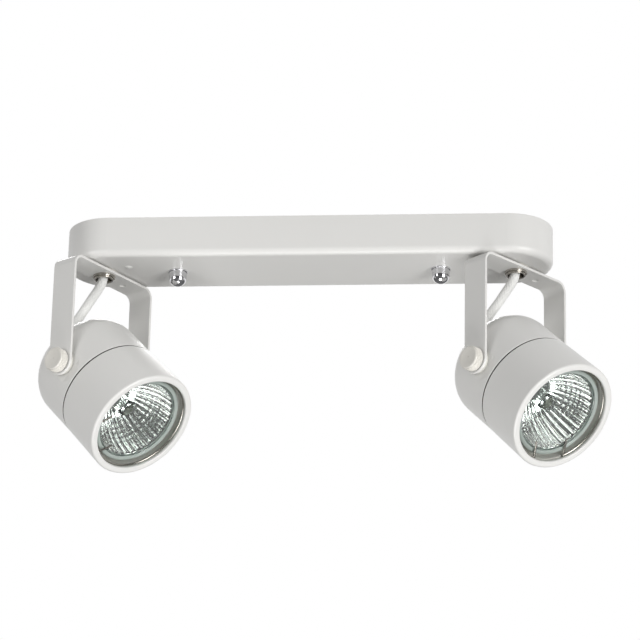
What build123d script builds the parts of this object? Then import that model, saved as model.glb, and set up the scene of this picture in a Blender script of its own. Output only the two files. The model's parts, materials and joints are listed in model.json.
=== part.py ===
"""Twin spotlight wall light: a pressed canopy with two panning, tilting lamp heads.

Millimetres. The origin is the centre of the mounting face, +Z points into the
wall or ceiling that carries the light, +X runs along the canopy. The light is
drawn as it hangs under a ceiling, so everything lies below Z = 0.
"""
from math import asin, cos, degrees, pi, radians, sin, sqrt, tan
import os
from build123d import *

# ---- driving sizes: canopy, a pressed steel box with full round ends ----------
canopy_width = 48.0
canopy_height = 22.0
canopy_sheet = 1.0
canopy_edge_radius = 3.5
head_pitch = 224.0            # between the two pan axes
pan_inset = 20.0              # from a pan axis to the canopy's end
canopy_length = head_pitch + 2 * pan_inset
stud_pitch = 143.0            # between the two fixing studs

# ---- mounting bracket, studs and cap nuts --------------------------------------
bracket_length = 166.0
bracket_width = 20.0
bracket_thickness = 1.5
slot_pitch = 90.0             # between the two wall screw slots
slot_length = 12.0
slot_width = 4.5
cable_hole = 9.0              # in the bracket, behind the terminal block
stud_diameter = 4.0
stud_tail = 6.0               # how far a stud reaches below the canopy face
stud_head_diameter = 6.6
stud_head_height = 0.8
stud_nut_across_flats = 7.0
stud_nut_height = 3.2
cap_collar_diameter = 10.4
cap_collar_height = 0.9
cap_body_diameter = 9.6
cap_body_height = 3.4
cap_dome_height = 4.3
cap_bore_depth = 6.6

# ---- pan joint: flanged hollow nipple through yoke and canopy ------------------
nipple_diameter = 10.0
nipple_bore = 8.6
nipple_flange_diameter = 12.2
nipple_flange_height = 1.2
nipple_lip_diameter = 10.6
nipple_lip_height = 1.0
nipple_top_depth = 14.5       # from the mounting face to the nipple's upper end
pan_washer_diameter = 14.0
pan_gap = 0.9                 # between canopy face and yoke plate
spring_washer_height = 1.1
spring_washer_diameter = 16.0
nipple_nut_across_flats = 14.0
nipple_nut_height = 3.6
stop_radius = 16.0            # of the pressed stop bumps about the pan axis
stop_bump_radius = 2.2
canopy_bump_height = 0.8
yoke_bump_height = 0.7
canopy_bump_bearing = {"left": -26.0, "right": 206.0}

# ---- yoke: a flat steel strip bent to a U --------------------------------------
strip_width = 15.0
strip_thickness = 1.5
pivot_gap = 2.0               # between each arm and the housing's flat
yoke_drop = 61.5              # top of the yoke plate to the pivot
yoke_bend_radius = 6.0        # outside
strip_edge_radius = 0.35

# ---- head: die-cast rear housing and front sleeve ------------------------------
head_radius = 30.0
lip_radius = 30.8             # the sleeve widens a little to its lip
back_reach = 23.5             # pivot to the closed back, along the head's axis
back_round = 14.0
seam_reach = 13.5             # pivot to the seam
lamp_front = 41.0             # pivot to the lamp's front face
front_reach = lamp_front + 4.6                        # pivot to the front of the lip
seam_gap = 0.8
seam_edge_radius = 0.4
housing_wall = 2.0
cavity_radius = 27.2
spigot_radius = 28.6
spigot_length = 6.0
pivot_flat = 29.0             # pivot to the flat each arm lies against
flat_reach = 7.5              # how far forward of the pivot the flat runs
flat_runout = 5.0
boss_radius = 5.0
boss_depth = 6.0
lip_round = 1.3
mouth_radius = 27.0
groove_radius = 27.7
groove_reach = lamp_front + 0.9                       # pivot to the groove's rear side
groove_width = 1.7
lamp_rim_thickness = 3.0
seat_radius = 24.3
seat_reach = lamp_front - lamp_rim_thickness - 0.1    # pivot to the lamp's seat
seat_thickness = 1.4
sleeve_bore = 27.9            # behind the lamp seat
sleeve_screw_radius = 23.4    # of the screws that join sleeve and housing
lug_thickness = 2.0
lug_width = 9.0
pillar_diameter = 6.5

# ---- pivots: thumb screws through the arms -------------------------------------
pivot_screw_diameter = 4.0
pivot_screw_tip = 23.2        # pivot centre to the screw's inner end
pivot_washer_diameter = 13.0
pivot_washer_clearance = 0.1
knob_diameter = 13.0
knob_thickness = 5.0
knob_gap = 0.5
knob_ribs = 46
knob_rib_depth = 0.28
knob_dish_depth = 0.35
knob_cap_height = 0.8
knob_dish_radius = 5.0

# ---- lamp: 50 mm reflector lamp with twist-lock pins ---------------------------
lamp_rim_radius = 25.2
bowl_radius = 22.0
bowl_recess = 1.9             # front face to the edge of the silvered bowl
lamp_glass_thickness = 1.5
lamp_glass_recess = 0.3
reflector_back = 11.0
neck_radius = 10.6
bowl_floor_radius = 6.0
bowl_floor = 15.0
bowl_middle = (16.4, 25.8)    # radius and reach of a point half way up the bowl
shell_middle = (19.4, 24.4)   # the same for the glass's outside
base_radius = 10.2
base_back = -3.4
pin_spacing = 10.0
pin_length = 6.6
pin_head_diameter = 4.8
pin_neck_diameter = 3.0
capsule_radius = 4.6
capsule_tip = 30.5
capsule_foot = 12.0

# ---- lamp socket and its bracket ------------------------------------------------
socket_radius = 12.5
socket_front = -3.5
socket_back = -18.4
socket_slot_depth = 8.0
strap_end = 4.0               # beyond each pillar screw
strap_width = 9.0
strap_thickness = 1.0
strap_hole = 6.6
strap_screw_offset = 17.0
socket_screw_offset = 8.6
small_screw_diameter = 3.0
small_screw_head = 5.4
small_screw_head_height = 1.6
small_screw_length = 7.0

# ---- lamp clip: sprung wire ring in the sleeve's groove -------------------------
clip_wire = 1.2
clip_ring_radius = groove_radius - clip_wire / 2 - 0.15
clip_reach = groove_reach + groove_width / 2
clip_gap_angle = 41.0
clip_gap_bearing = {"left": -138.0, "right": -70.0}
clip_tab_radius = 19.4
clip_tab_sweep = 10.0
clip_tab_reach = lamp_front + clip_wire / 2 + 0.15

# ---- leads ----------------------------------------------------------------------
cable_diameter = 5.2
cable_hole_clearance = 0.35
bush_flange_diameter = 12.6
bush_flange_height = 2.0
bush_neck_diameter = 8.8
bush_inner_diameter = 11.4
bush_inner_height = 1.1
wire_diameter = 1.8
socket_wire_offset = 1.6
socket_wire_depth = 3.0

# ---- terminal block -------------------------------------------------------------
pole_pitch = 9.5
block_depth = 17.0
block_height = 12.5
clamp_diameter = 5.6
clamp_bore = 4.4
clamp_length = 14.0
clamp_screw_diameter = 2.6
clamp_screw_length = 4.2
block_screw_diameter = 2.9
block_screw_x = 4.75
earth_screw_x = -27.0
earth_tag_diameter = 8.0
earth_tag_thickness = 0.8
core_entry_offset = 0.95
core_spacing = 2.2
core_lane = -15.2             # middle core of the run along the canopy
core_level_step = 2.0
core_turn_x = 84.0            # where the run turns towards the pan axis

# ---- pose in which the light is drawn -------------------------------------------
pan_bearing = {"left": 57.9, "right": 49.4}       # of the pivot axis about Z
head_dip = {"left": 45.7, "right": 43.1}          # of the lamp axis below level

running = 0.05                # radial clearance of a turning fit
close = 0.1                   # clearance of pieces that are screwed together

yoke_top = -canopy_height - pan_gap
plate_face = yoke_top - strip_thickness
pivot_height = yoke_top - yoke_drop
arm_inside = pivot_flat + pivot_gap
yoke_span = 2 * (arm_inside + strip_thickness)        # outside of one arm to the other's
pivot_washer_thickness = pivot_gap - pivot_washer_clearance
strap_length = 2 * (strap_screw_offset + strap_end)
lug_reach = seam_reach - seam_gap / 2 + spigot_length + close
side_sign = {"left": -1, "right": 1}


def ring(outer, inner, height, z=0.0):
    """Flat ring with its lower face at z."""
    body = Cylinder(outer, height) - Cylinder(inner, height * 3)
    return Pos(0, 0, z + height / 2) * body


def rod(start, end, radius):
    """Round bar between two points."""
    path = Line(start, end)
    section = Plane(origin=path @ 0, z_dir=path % 0) * Circle(radius)
    return extrude(section, path.length)


def dome(radius, height):
    """Spherical cap standing on Z = 0."""
    ball = (radius ** 2 + height ** 2) / (2 * height)
    keep = Pos(0, 0, height) * Box(3 * radius, 3 * radius, 2 * height)
    return keep & (Pos(0, 0, height - ball) * Sphere(ball))


def spin(face):
    """Solid of revolution about Z of a face drawn as (radius, height)."""
    return revolve(Rot(90, 0, 0) * face, Axis.Z)


def turned(points, rounds=()):
    """Spin a closed outline of (radius, height) points; rounds are (index, radius)."""
    face = make_face(Polyline(*points, close=True))
    for index, radius in rounds:
        corner = min(face.vertices(), key=lambda v: (Vector(v) - Vector(*points[index])).length)
        face = fillet(corner, radius)
    return spin(face)


def hexagon_nut(across_flats, height, bore, z):
    """Nut with its lower face at z."""
    plan = RegularPolygon(across_flats / 2, 6, major_radius=False) - Circle(bore)
    return Pos(0, 0, z) * extrude(plan, height)


def pan_screw(length, head_z):
    """Pan-head screw pointing down, the underside of its head at head_z."""
    head = Pos(0, 0, head_z + small_screw_head_height / 2) * Cylinder(
        small_screw_head / 2, small_screw_head_height)
    head = fillet(head.edges().group_by(Axis.Z)[-1], 0.5)
    slot = Pos(0, 0, head_z + small_screw_head_height) * Box(small_screw_head, 0.7, 1.4)
    shank = Pos(0, 0, head_z - length / 2) * Cylinder(small_screw_diameter / 2 - close, length)
    return head - slot + shank


def lead_path(points, share=0.45):
    """Straight runs joined by tangent arcs; each arc is as large as its runs allow."""
    points = [Vector(*p) for p in points]
    radii = []
    for before, here, after in zip(points, points[1:], points[2:]):
        turn = radians((here - before).get_angle(after - here))
        shorter = min((here - before).length, (after - here).length)
        radii.append(share * shorter / tan(turn / 2))
    return FilletPolyline(*points, radius=radii), radii


def lead(name, points, diameter):
    """Round lead along a route, with its radii and volume test printed."""
    path, radii = lead_path(points)
    section = Plane(origin=path @ 0, z_dir=path % 0) * Circle(diameter / 2)
    body = sweep(section, path)
    expected = pi * diameter ** 2 / 4 * path.length
    print(f"{name}: length {path.length:.1f}, tightest radius {min(radii):.1f}, "
          f"volume / expected {body.volume / expected:.4f}")
    return body


# ================================ canopy and fixing ==============================

def canopy():
    """Pressed box, open towards the wall, with its two stop bumps."""
    outer = extrude(SlotOverall(canopy_length, canopy_width), -canopy_height)
    outer = fillet(outer.edges().group_by(Axis.Z)[0], canopy_edge_radius)
    hollow = extrude(
        SlotOverall(canopy_length - 2 * canopy_sheet, canopy_width - 2 * canopy_sheet),
        -(canopy_height - canopy_sheet))
    hollow = fillet(hollow.edges().group_by(Axis.Z)[0], canopy_edge_radius - canopy_sheet)
    shell = outer - hollow
    for side, sign in side_sign.items():
        shell -= Pos(sign * head_pitch / 2, 0, -canopy_height) * Cylinder(
            nipple_diameter / 2 + close, 4 * canopy_sheet)
        shell -= Pos(sign * stud_pitch / 2, 0, -canopy_height) * Cylinder(
            stud_diameter / 2 + 2 * close, 4 * canopy_sheet)
        bearing = radians(canopy_bump_bearing[side])
        bump_x = sign * head_pitch / 2 + stop_radius * cos(bearing)
        bump_y = stop_radius * sin(bearing)
        bump = Rot(180, 0, 0) * dome(stop_bump_radius, canopy_bump_height)
        shell += Pos(bump_x, bump_y, -canopy_height) * bump
        dent = Rot(180, 0, 0) * dome(stop_bump_radius * 0.8, canopy_bump_height * 0.8)
        shell -= Pos(bump_x, bump_y, -canopy_height + canopy_sheet) * dent
    return shell


def mounting_bracket():
    """Flat strip against the wall with screw slots, stud holes and a cable hole."""
    plan = SlotOverall(bracket_length, bracket_width)
    for sign in (-1, 1):
        plan -= Pos(sign * slot_pitch / 2, 0) * SlotOverall(slot_length, slot_width)
        plan -= Pos(sign * stud_pitch / 2, 0) * Circle(stud_diameter / 2 + close)
    plan -= Pos(0, bracket_width / 2) * Circle(cable_hole / 2)
    plan -= Pos(earth_screw_x, 0) * Circle(small_screw_diameter / 2 + close)
    plan -= Pos(block_screw_x, 0) * Circle(block_screw_diameter / 2 + close)
    strip = extrude(plan, -bracket_thickness)
    for sign in (-1, 1):
        strip -= Pos(sign * stud_pitch / 2, 0, 0) * Cylinder(
            stud_head_diameter / 2 + close, 2 * (stud_head_height + close))
    return strip


def bracket_studs():
    """Two clinched studs, heads flush in the bracket."""
    tip = -canopy_height - stud_tail
    studs = []
    for sign in (-1, 1):
        head = Pos(0, 0, -stud_head_height / 2 - close) * Cylinder(
            stud_head_diameter / 2, stud_head_height)
        length = -tip - close
        shank = Pos(0, 0, tip + length / 2) * Cylinder(stud_diameter / 2, length)
        studs.append(Pos(sign * stud_pitch / 2, 0, 0) * (head + shank))
    return studs


def stud_nuts():
    """Nuts that lock the studs to the bracket."""
    nut = hexagon_nut(stud_nut_across_flats, stud_nut_height, stud_diameter / 2 + running,
                      -bracket_thickness - stud_nut_height)
    return [Pos(sign * stud_pitch / 2, 0, 0) * nut for sign in (-1, 1)]


def cap_nuts():
    """Chromed cap nuts under the canopy, each a collar, a short barrel and a dome."""
    face = -canopy_height
    collar = Pos(0, 0, face - cap_collar_height / 2) * Cylinder(
        cap_collar_diameter / 2, cap_collar_height)
    collar = fillet(collar.edges().group_by(Axis.Z)[0], 0.3)
    barrel_length = cap_collar_height + cap_body_height
    barrel = Pos(0, 0, face - barrel_length / 2) * Cylinder(cap_body_diameter / 2, barrel_length)
    crown = Pos(0, 0, face - barrel_length) * Rot(180, 0, 0) * dome(
        cap_body_diameter / 2 - 1e-3, cap_dome_height)
    nut = collar + barrel + crown
    bore = Pos(0, 0, face - cap_bore_depth / 2) * Cylinder(
        stud_diameter / 2 + running, cap_bore_depth)
    nut -= bore
    return [Pos(sign * stud_pitch / 2, 0, 0) * nut for sign in (-1, 1)]


# ================================ pan joint ======================================

def nipple():
    """Hollow threaded tube with a flange below the yoke plate and a rolled lip."""
    flange_top = plate_face - running
    flange_face = flange_top - nipple_flange_height
    tube_top = -nipple_top_depth
    tube = Pos(0, 0, (tube_top + flange_face) / 2) * Cylinder(
        nipple_diameter / 2, tube_top - flange_face)
    flange = Pos(0, 0, flange_face + nipple_flange_height / 2) * Cylinder(
        nipple_flange_diameter / 2, nipple_flange_height)
    flange = fillet(flange.edges().group_by(Axis.Z)[0], 0.5)
    lip = Pos(0, 0, flange_face - nipple_lip_height / 2) * Cylinder(
        nipple_lip_diameter / 2, nipple_lip_height)
    body = tube + flange + lip
    body -= Pos(0, 0, -canopy_height) * Cylinder(nipple_bore / 2, 2 * canopy_height)
    mouth = body.edges().group_by(Axis.Z)[0]
    return fillet(mouth, 0.42)


def pan_washer():
    """Fibre washer that the yoke turns against."""
    return ring(pan_washer_diameter / 2, nipple_diameter / 2 + close,
                pan_gap - running, -canopy_height - pan_gap + running)


def spring_washer():
    """Sprung washer under the nipple's nut, inside the canopy."""
    floor = -canopy_height + canopy_sheet
    return ring(spring_washer_diameter / 2, nipple_diameter / 2 + close,
                spring_washer_height, floor)


def nipple_nut():
    """Thin nut that holds the nipple in the canopy."""
    floor = -canopy_height + canopy_sheet + spring_washer_height
    return hexagon_nut(nipple_nut_across_flats, nipple_nut_height,
                       nipple_diameter / 2 + running, floor)


# ================================ yoke ===========================================

def yoke():
    """Bent strip: X along the pivot axis, the pan axis at X = Y = 0."""
    height = yoke_drop + strip_width / 2
    centre = yoke_top - height / 2
    outer = Rectangle(yoke_span, height)
    outer = fillet(outer.vertices().group_by(Axis.Y)[-1], yoke_bend_radius)
    inner = Pos(0, -strip_thickness) * Rectangle(2 * arm_inside, height)
    inner = fillet(inner.vertices().group_by(Axis.Y)[-1], yoke_bend_radius - strip_thickness)
    outline = Plane.XZ * (Pos(0, centre) * (outer - inner))
    strip = extrude(outline, strip_width / 2, both=True)
    above = (yoke_top + pivot_height) / 2
    mask = Pos(0, 0, above) * Box(yoke_span, strip_width, yoke_top - pivot_height)
    mask += Pos(0, 0, pivot_height) * Rot(0, 90, 0) * Cylinder(strip_width / 2, yoke_span)
    strip = strip & mask
    strip = fillet(strip.edges().filter_by(lambda e: e.length > 2 * strip_thickness),
                   strip_edge_radius)
    strip -= Pos(0, 0, yoke_top) * Cylinder(nipple_diameter / 2 + running, 4 * strip_thickness)
    strip -= Pos(0, 0, pivot_height) * Rot(0, 90, 0) * Cylinder(
        pivot_screw_diameter / 2 + running, 2 * yoke_span)
    strip += Pos(stop_radius, 0, yoke_top) * dome(stop_bump_radius, yoke_bump_height)
    dent = dome(stop_bump_radius * 0.8, yoke_bump_height)
    return strip - Pos(stop_radius, 0, plate_face) * dent


# ================================ head: Z forward, X along the pivot axis ========

def rear_housing():
    """Die-cast cup with a rounded back, a flat and a boss at each pivot."""
    seam = seam_reach - seam_gap / 2
    body = turned([(0, -back_reach), (head_radius, -back_reach), (head_radius, seam), (0, seam)],
                  [(1, back_round), (2, seam_edge_radius)])
    body += Pos(0, 0, seam + spigot_length / 2 - 0.5) * Cylinder(spigot_radius, spigot_length + 1)
    floor = -back_reach + housing_wall
    body -= turned([(0, floor), (cavity_radius, floor), (cavity_radius, 2 * front_reach),
                    (0, 2 * front_reach)], [(1, back_round - housing_wall)])
    # flats, each with a shallow ramp back out to the round
    ramp_depth = head_radius - pivot_flat
    far = head_radius + 2
    for sign in (-1, 1):
        cut = Polyline(
            (sign * pivot_flat, 0, -back_reach - 1),
            (sign * pivot_flat, 0, flat_reach),
            (sign * (pivot_flat + ramp_depth), 0, flat_reach + flat_runout),
            (sign * far, 0, flat_reach + flat_runout),
            (sign * far, 0, -back_reach - 1), close=True)
        body -= extrude(make_face(cut), head_radius, both=True)
        boss = rod((sign * (pivot_flat - boss_depth), 0, 0),
                   (sign * (cavity_radius + housing_wall / 2), 0, 0), boss_radius)
        body += boss
        body -= rod((sign * (pivot_flat - boss_depth - 1), 0, 0), (sign * far, 0, 0),
                    pivot_screw_diameter / 2 + running)
        # sleeve screw boss on the inside of the spigot
        top = seam + spigot_length
        screw_boss = Pos(0, sign * sleeve_screw_radius, 0) * extrude(
            Circle(lug_width / 2), top)
        reach = Cylinder(cavity_radius + 0.5, 4 * front_reach)
        body += screw_boss & reach
        body -= Pos(0, sign * sleeve_screw_radius, top) * Cylinder(
            small_screw_diameter / 2, 2 * small_screw_length)
        # pillar that carries the lamp socket's strap
        strap_back = socket_back - strap_thickness
        pillar = Pos(0, sign * strap_screw_offset, floor - housing_wall / 2) * extrude(
            Circle(pillar_diameter / 2), strap_back - floor + housing_wall / 2)
        body += pillar
        body -= Pos(0, sign * strap_screw_offset, floor) * extrude(
            Circle(small_screw_diameter / 2), strap_back - floor)
    body -= Pos(0, 0, -back_reach) * Cylinder(bush_neck_diameter / 2 + close, 4 * housing_wall)
    return body


def front_sleeve():
    """Die-cast sleeve with a rounded lip, a clip groove, a lamp seat and two lugs."""
    start = seam_reach + seam_gap / 2
    clip_end = groove_reach + groove_width
    seat_back = seat_reach - seat_thickness
    body = turned([
        (head_radius, start), (lip_radius, front_reach), (mouth_radius, front_reach),
        (mouth_radius, clip_end), (groove_radius, clip_end), (groove_radius, groove_reach),
        (mouth_radius, groove_reach), (mouth_radius, seat_reach), (seat_radius, seat_reach),
        (seat_radius, seat_back), (sleeve_bore, seat_back), (sleeve_bore, lug_reach),
        (spigot_radius + close, lug_reach), (spigot_radius + close, start),
    ], [(0, seam_edge_radius), (1, lip_round), (2, 0.8)])
    for sign in (-1, 1):
        plan = Pos(0, sign * sleeve_screw_radius) * Circle(lug_width / 2)
        plan += Pos(0, sign * (sleeve_screw_radius + lug_width / 2)) * Rectangle(
            lug_width, lug_width)
        plan = plan & Circle(sleeve_bore + 0.5)
        plan -= Pos(0, sign * sleeve_screw_radius) * Circle(small_screw_diameter / 2 + close)
        body += Pos(0, 0, lug_reach) * extrude(plan, lug_thickness)
    return body


def sleeve_screws():
    """Two screws, reached through the mouth, that hold the sleeve to the housing."""
    screw = pan_screw(small_screw_length, lug_reach + lug_thickness)
    return [Pos(0, sign * sleeve_screw_radius, 0) * screw for sign in (-1, 1)]


def pivot_washers():
    """Nylon washers between the housing's flats and the arms."""
    face = (pivot_flat + arm_inside - pivot_washer_thickness) / 2
    washer = ring(pivot_washer_diameter / 2, pivot_screw_diameter / 2 + close,
                  pivot_washer_thickness, face)
    return [Rot(0, 90, 0) * washer, Rot(0, -90, 0) * washer]


def thumb_knob():
    """Moulded knob with a ribbed rim and a dished face, outside the arm at +X."""
    base = yoke_span / 2 + knob_gap
    outer = knob_diameter / 2
    step = 180.0 / knob_ribs
    points = [((outer - (k % 2) * knob_rib_depth) * cos(radians(k * step)),
               (outer - (k % 2) * knob_rib_depth) * sin(radians(k * step)))
              for k in range(2 * knob_ribs)]
    ribbed = knob_thickness - knob_cap_height
    body = extrude(make_face(Polyline(*points, close=True)), ribbed)
    cap = Pos(0, 0, ribbed + knob_cap_height / 2 - 0.5) * Cylinder(
        outer - knob_rib_depth - 0.05, knob_cap_height + 1.0)
    cap = fillet(cap.edges().group_by(Axis.Z)[-1], knob_cap_height - 0.05)
    cap -= Pos(0, 0, knob_thickness) * Rot(180, 0, 0) * dome(knob_dish_radius, knob_dish_depth)
    body += cap
    hole_depth = knob_thickness * 0.7
    body -= Pos(0, 0, hole_depth / 2) * Cylinder(pivot_screw_diameter / 2 + running, hole_depth)
    return Rot(0, 90, 0) * Pos(0, 0, base) * body


def thumb_screw():
    """Threaded stud moulded into the knob."""
    outer_end = yoke_span / 2 + knob_gap + knob_thickness * 0.7 - close
    return rod((pivot_screw_tip, 0, 0), (outer_end, 0, 0), pivot_screw_diameter / 2)


# ================================ lamp and socket ================================

def lamp_reflector():
    """Pressed glass reflector: rim, bowl and neck."""
    rim_back = lamp_front - lamp_rim_thickness
    front = lamp_front
    seat = bowl_radius + 0.9
    bowl_edge = front - bowl_recess
    outline = [
        Polyline((seat, bowl_edge), (seat, front), (lamp_rim_radius, front),
                 (lamp_rim_radius, rim_back), (seat_radius - 1.2, rim_back)),
        ThreePointArc((seat_radius - 1.2, rim_back), shell_middle,
                      (neck_radius, reflector_back)),
        Polyline((neck_radius, reflector_back), (bowl_floor_radius, reflector_back),
                 (bowl_floor_radius, bowl_floor)),
        ThreePointArc((bowl_floor_radius, bowl_floor), bowl_middle, (bowl_radius, bowl_edge)),
        Line((bowl_radius, bowl_edge), (seat, bowl_edge)),
    ]
    body = spin(make_face(outline))
    rim = [e for e in body.edges().filter_by(GeomType.CIRCLE)
           if abs(e.radius - lamp_rim_radius) < 1e-3]
    return fillet(rim, 0.4)


def lamp_glass():
    """Clear front glass, seated in the rim."""
    front = lamp_front - lamp_glass_recess
    disc = Pos(0, 0, front - lamp_glass_thickness / 2) * Cylinder(
        bowl_radius + 0.9 - running, lamp_glass_thickness)
    return fillet(disc.edges().group_by(Axis.Z)[-1], 0.3)


def lamp_capsule():
    """Halogen capsule with a round tip."""
    length = capsule_tip - capsule_foot
    tube = Pos(0, 0, capsule_foot + length / 2) * Cylinder(capsule_radius, length)
    return fillet(tube.edges().group_by(Axis.Z)[-1], capsule_radius * 0.8)


def lamp_base():
    """Ceramic base behind the reflector, with a well for the capsule."""
    body = turned([(0, base_back), (base_radius - 1.5, base_back), (base_radius, base_back + 1.5),
                   (base_radius, reflector_back - close), (bowl_floor_radius - close, reflector_back - close),
                   (bowl_floor_radius - close, bowl_floor - 1.0), (0, bowl_floor - 1.0)])
    well = capsule_foot - close
    body -= Pos(0, 0, well + 5) * Cylinder(capsule_radius + running, 10)
    for sign in (-1, 1):
        body -= Pos(sign * pin_spacing / 2, 0, base_back + 1.5) * Cylinder(
            pin_neck_diameter / 2 + running, 3.2)
    return body


def lamp_pins():
    """Two headed pins."""
    neck_top = base_back + 3.0
    head_z = base_back - pin_length
    neck = Pos(0, 0, (neck_top + head_z) / 2) * Cylinder(pin_neck_diameter / 2, neck_top - head_z)
    head = Pos(0, 0, head_z + 1.5) * Cylinder(pin_head_diameter / 2, 3.0)
    head = fillet(head.edges().group_by(Axis.Z)[0], 0.6)
    return [Pos(sign * pin_spacing / 2, 0, 0) * (neck + head) for sign in (-1, 1)]


def lamp_socket():
    """Ceramic holder with two keyhole slots, screw holes and wire holes."""
    height = socket_front - socket_back
    body = Pos(0, 0, (socket_front + socket_back) / 2) * Cylinder(socket_radius, height)
    body = fillet(body.edges().group_by(Axis.Z)[-1], 1.0)
    for sign in (-1, 1):
        slot = Pos(sign * pin_spacing / 2, sign * 1.6, socket_front - socket_slot_depth / 2) * Box(
            pin_neck_diameter + 0.6, pin_neck_diameter + 2.8, socket_slot_depth)
        slot += Pos(sign * pin_spacing / 2, 0, socket_front - socket_slot_depth / 2) * Cylinder(
            pin_head_diameter / 2 + 0.3, socket_slot_depth)
        body -= slot
        body -= Pos(0, sign * socket_screw_offset, socket_back) * Cylinder(
            small_screw_diameter / 2, 2 * small_screw_length)
        body -= Pos(sign * socket_wire_offset, 0, socket_back) * Cylinder(
            wire_diameter / 2 + close, 2 * (socket_wire_depth + close))
    return body


def socket_strap():
    """Steel strap on two pillars at the back of the housing."""
    plan = RectangleRounded(strap_width, strap_length, 2.0) - Circle(strap_hole / 2)
    for sign in (-1, 1):
        for offset in (strap_screw_offset, socket_screw_offset):
            plan -= Pos(0, sign * offset) * Circle(small_screw_diameter / 2 + close)
    return Pos(0, 0, socket_back - strap_thickness + running / 2) * extrude(
        plan, strap_thickness - running)


def strap_screws():
    """Strap to pillars, and socket to strap: four short screws."""
    strap_back = socket_back - strap_thickness
    short = -back_reach + housing_wall - strap_back
    screws = []
    for sign in (-1, 1):
        # the pillar's depth sets the outer screws' length
        outer = pan_screw(abs(short) + strap_thickness - 0.4, socket_back)
        screws.append(Pos(0, sign * strap_screw_offset, 0) * outer)
    return screws


def socket_screws():
    """Two headless screws through the strap into the socket."""
    length = small_screw_length - 1.0
    top = socket_back + length - strap_thickness
    screw = Pos(0, 0, top - length / 2) * Cylinder(small_screw_diameter / 2 - close, length)
    return [Pos(0, sign * socket_screw_offset, 0) * screw for sign in (-1, 1)]


def cable_bush():
    """Moulded bush in the middle of the housing's back."""
    outer = -back_reach
    inner = -back_reach + housing_wall
    flange = Pos(0, 0, outer - bush_flange_height / 2) * Cylinder(
        bush_flange_diameter / 2, bush_flange_height)
    flange = fillet(flange.edges().group_by(Axis.Z)[0], 1.2)
    neck = Pos(0, 0, (outer + inner) / 2) * Cylinder(bush_neck_diameter / 2, housing_wall)
    barb = Pos(0, 0, inner + bush_inner_height / 2) * Cylinder(
        bush_inner_diameter / 2, bush_inner_height)
    hole = Cylinder(cable_diameter / 2 + cable_hole_clearance, 4 * back_reach)
    return flange + neck + barb - hole


def socket_wires():
    """Two cores from the cable's end to the socket."""
    start = -back_reach + 1.0
    end = socket_back + socket_wire_depth
    return [rod((sign * socket_wire_offset, 0, start), (sign * socket_wire_offset, 0, end),
                wire_diameter / 2) for sign in (-1, 1)]


def lamp_clip(side):
    """Open wire ring with both ends bent in over the lamp."""
    wire = clip_wire / 2
    bearing = clip_gap_bearing[side]
    first = bearing + clip_gap_angle / 2
    last = bearing + 360 - clip_gap_angle / 2
    section = Plane.XZ * Pos(clip_ring_radius, clip_reach) * Circle(wire)
    body = Rot(0, 0, first) * revolve(section, Axis.Z, revolution_arc=last - first)
    for angle, sweep_sign in ((first, 1), (last, -1)):
        corner = (clip_ring_radius * cos(radians(angle)),
                  clip_ring_radius * sin(radians(angle)), clip_reach)
        tip_angle = radians(angle + sweep_sign * clip_tab_sweep)
        tip = (clip_tab_radius * cos(tip_angle), clip_tab_radius * sin(tip_angle),
               clip_tab_reach)
        body += rod(corner, tip, wire)
        body += Pos(*corner) * Sphere(wire)
        body += Pos(*tip) * Sphere(wire)
    return body


# ================================ wiring in the canopy ===========================

block_top = -bracket_thickness - close
block_mid = block_top - block_height / 2
clamp_height = block_top - block_height + 4.6
core_entry = clamp_height + 0.8
poles = (-pole_pitch, 0.0, pole_pitch)


def terminal_block():
    """Three-pole moulded block under the bracket."""
    length = 3 * pole_pitch
    body = Pos(0, 0, block_mid) * Box(length, block_depth, block_height)
    body = fillet(body.edges().filter_by(Axis.Z), 1.0)
    for x in poles:
        body -= Pos(x, 0, clamp_height) * Rot(90, 0, 0) * Cylinder(
            clamp_diameter / 2 + running, block_depth * 2)
        for sign in (-1, 1):
            body -= Pos(x, sign * 4.2, block_mid - block_height / 2) * Cylinder(
                clamp_screw_diameter / 2 + 0.4, 2 * (clamp_height - block_mid + block_height / 2))
    for x in (-pole_pitch / 2, pole_pitch / 2):
        body -= Pos(x, 0, block_mid) * Box(1.0, 2 * block_depth, 3.0)
    body -= Pos(block_screw_x, 0, block_top) * Cylinder(block_screw_diameter / 2, 9.0)
    return body


def terminal_clamps():
    """Brass tubes in the block, one for each pole."""
    tubes = []
    for x in poles:
        tube = Cylinder(clamp_diameter / 2, clamp_length) - Cylinder(clamp_bore / 2, 2 * clamp_length)
        tube = Pos(x, 0, clamp_height) * Rot(90, 0, 0) * tube
        for sign in (-1, 1):
            tube -= Pos(x, sign * 4.2, clamp_height - clamp_diameter / 2) * Cylinder(
                clamp_screw_diameter / 2 + running, clamp_diameter)
        tubes.append(tube)
    return tubes


def terminal_screws():
    """Two clamping screws in each brass tube."""
    top = clamp_height - 0.17
    screws = []
    for x in poles:
        for sign in (-1, 1):
            screw = Pos(0, 0, top - clamp_screw_length / 2) * Cylinder(
                clamp_screw_diameter / 2, clamp_screw_length)
            slot = Pos(0, 0, top - clamp_screw_length) * Box(4, 0.5, 1.2)
            screws.append(Pos(x, sign * 4.2, 0) * (screw - slot))
    return screws


def bracket_screws():
    """Screw that holds the block, and the earth screw driven from below."""
    holder = Pos(block_screw_x, 0, -close - 2.9) * Cylinder(block_screw_diameter / 2, 5.8)
    face = -bracket_thickness - earth_tag_thickness
    earth = Rot(180, 0, 0) * pan_screw(-face - close, 0)
    return [holder, Pos(earth_screw_x, 0, face) * earth]


def earth_tag():
    """Ring tag under the bracket, with a tail for the earth core."""
    plan = Circle(earth_tag_diameter / 2) + Pos(0, 5) * Rectangle(3.2, 7.0)
    plan -= Circle(small_screw_diameter / 2)
    return Pos(earth_screw_x, 0, -bracket_thickness - earth_tag_thickness) * extrude(
        plan, earth_tag_thickness - running)


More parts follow.
